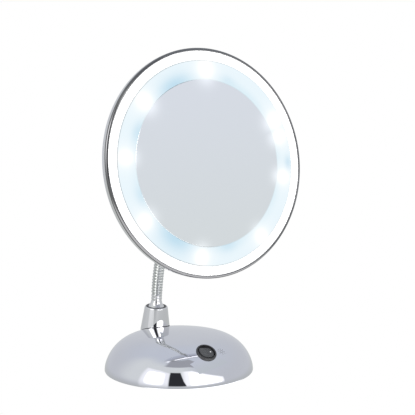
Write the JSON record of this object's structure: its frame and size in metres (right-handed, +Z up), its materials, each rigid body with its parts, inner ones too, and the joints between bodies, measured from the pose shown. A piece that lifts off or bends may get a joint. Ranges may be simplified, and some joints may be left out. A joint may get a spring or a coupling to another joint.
{
  "type": "lighted vanity mirror",
  "caption": "Round light-ring vanity mirror on a flexible gooseneck, standing on a domed chrome base with a rocker switch.",
  "frame": {"origin": "centre of the base on the table plane, under the foot pads", "axes": "+Z up; the mirror faces -Y; +X to the right of someone facing the mirror"},
  "size_m": [0.1784, 0.124, 0.2611],
  "materials": {
    "chrome_plated": "chrome-plated ABS, mirror bright",
    "dark_chrome": "smoked chrome plating",
    "chrome_metal": "bright chrome plating on steel",
    "bright_steel": "zinc-plated steel",
    "black_plastic": "fine-textured black ABS",
    "switch_black": "satin black nylon",
    "rocker_grey": "satin dark grey, one white dot",
    "pad_rubber": "soft black rubber",
    "cast_weight": "rough cast, oiled",
    "cell_jacket": null,
    "terminal_brass": "tin-brass",
    "wire_black": "PVC insulation",
    "board_green": "solder-masked glass fibre",
    "component_white": "moulded white",
    "component_dark": "chip resistor",
    "mirror_silver": "silvered float glass",
    "pad_foam": "double-sided foam pad",
    "lens_white": "translucent light-diffusing acrylic",
    "bezel_white": "smooth white",
    "tray_white": "white reflector moulding"
  },
  "bodies": {
    "base": {"base_shell": "chrome_plated", "neck_socket": "chrome_plated", "socket_screws": "bright_steel", "lower_ferrule": "chrome_metal", "base_plate": "black_plastic", "base_screws": "bright_steel", "foot_pads": "pad_rubber", "ballast_weights": "cast_weight", "battery_bay": "black_plastic", "battery_cells": "cell_jacket", "battery_springs": "bright_steel", "contact_plates": "bright_steel", "door_hinge_pin": "bright_steel", "switch_body": "switch_black", "switch_terminals": "terminal_brass", "switch_leads": "wire_black", "gooseneck_1": "chrome_metal", "power_cable": "wire_black"},
    "battery_door": {"battery_door": "black_plastic"},
    "rocker": {"switch_rocker": "rocker_grey"},
    "neck_1": {"gooseneck_2": "chrome_metal"},
    "neck_2": {"gooseneck_3": "chrome_metal"},
    "neck_3": {"gooseneck_4": "chrome_metal"},
    "neck_4": {"gooseneck_5": "chrome_metal"},
    "neck_5": {"gooseneck_6": "chrome_metal"},
    "head": {"gooseneck_7": "chrome_metal", "upper_ferrule": "chrome_metal", "head_socket": "chrome_plated", "head_socket_screws": "bright_steel", "back_cover": "chrome_plated", "head_screws": "bright_steel", "chrome_rim": "chrome_plated", "trim_bead": "dark_chrome", "front_bezel": "bezel_white", "light_ring_lens": "lens_white", "reflector_tray": "tray_white", "led_board": "board_green", "leds": "component_white", "led_resistors": "component_dark", "board_connector": "component_white", "board_leads": "wire_black", "mirror_glass": "mirror_silver", "glass_adhesive_pad": "pad_foam"}
  },
  "joints": [
    {"name": "neck_nod_1", "type": "hinge", "parent": "base", "child": "neck_1", "pos_m": [0, 0.03733, 0.06834], "axis": [1, 0, 0], "range_deg": [-9, 9], "deforming": ["power_cable"]},
    {"name": "neck_sway_1", "type": "hinge", "parent": "neck_1", "child": "neck_2", "pos_m": [0, 0.03219, 0.08889], "axis": [0, 0.949, 0.3152], "range_deg": [-9, 9]},
    {"name": "neck_nod_2", "type": "hinge", "parent": "neck_2", "child": "neck_3", "pos_m": [0, 0.02419, 0.10851], "axis": [1, 0, 0], "range_deg": [-9, 9]},
    {"name": "neck_sway_2", "type": "hinge", "parent": "neck_3", "child": "neck_4", "pos_m": [0, 0.01557, 0.12787], "axis": [0, 0.9135, 0.4067], "range_deg": [-9, 9]},
    {"name": "neck_nod_3", "type": "hinge", "parent": "neck_4", "child": "neck_5", "pos_m": [0, 0.00695, 0.14724], "axis": [1, 0, 0], "range_deg": [-9, 9]},
    {"name": "neck_sway_3", "type": "hinge", "parent": "neck_5", "child": "head", "pos_m": [0, -0.0035, 0.16542], "axis": [0, 0.6252, 0.7805], "range_deg": [-9, 9]},
    {"name": "rocker_tilt", "type": "hinge", "parent": "base", "child": "rocker", "pos_m": [-0.00313, -0.04718, 0.02383], "axis": [-0.0561, -0.844, -0.5335], "range_deg": [0, 18]},
    {"name": "door_hinge", "type": "hinge", "parent": "base", "child": "battery_door", "pos_m": [0, -0.0326, 0.003], "axis": [-1, 0, 0], "range_deg": [0, 75]}
  ]
}
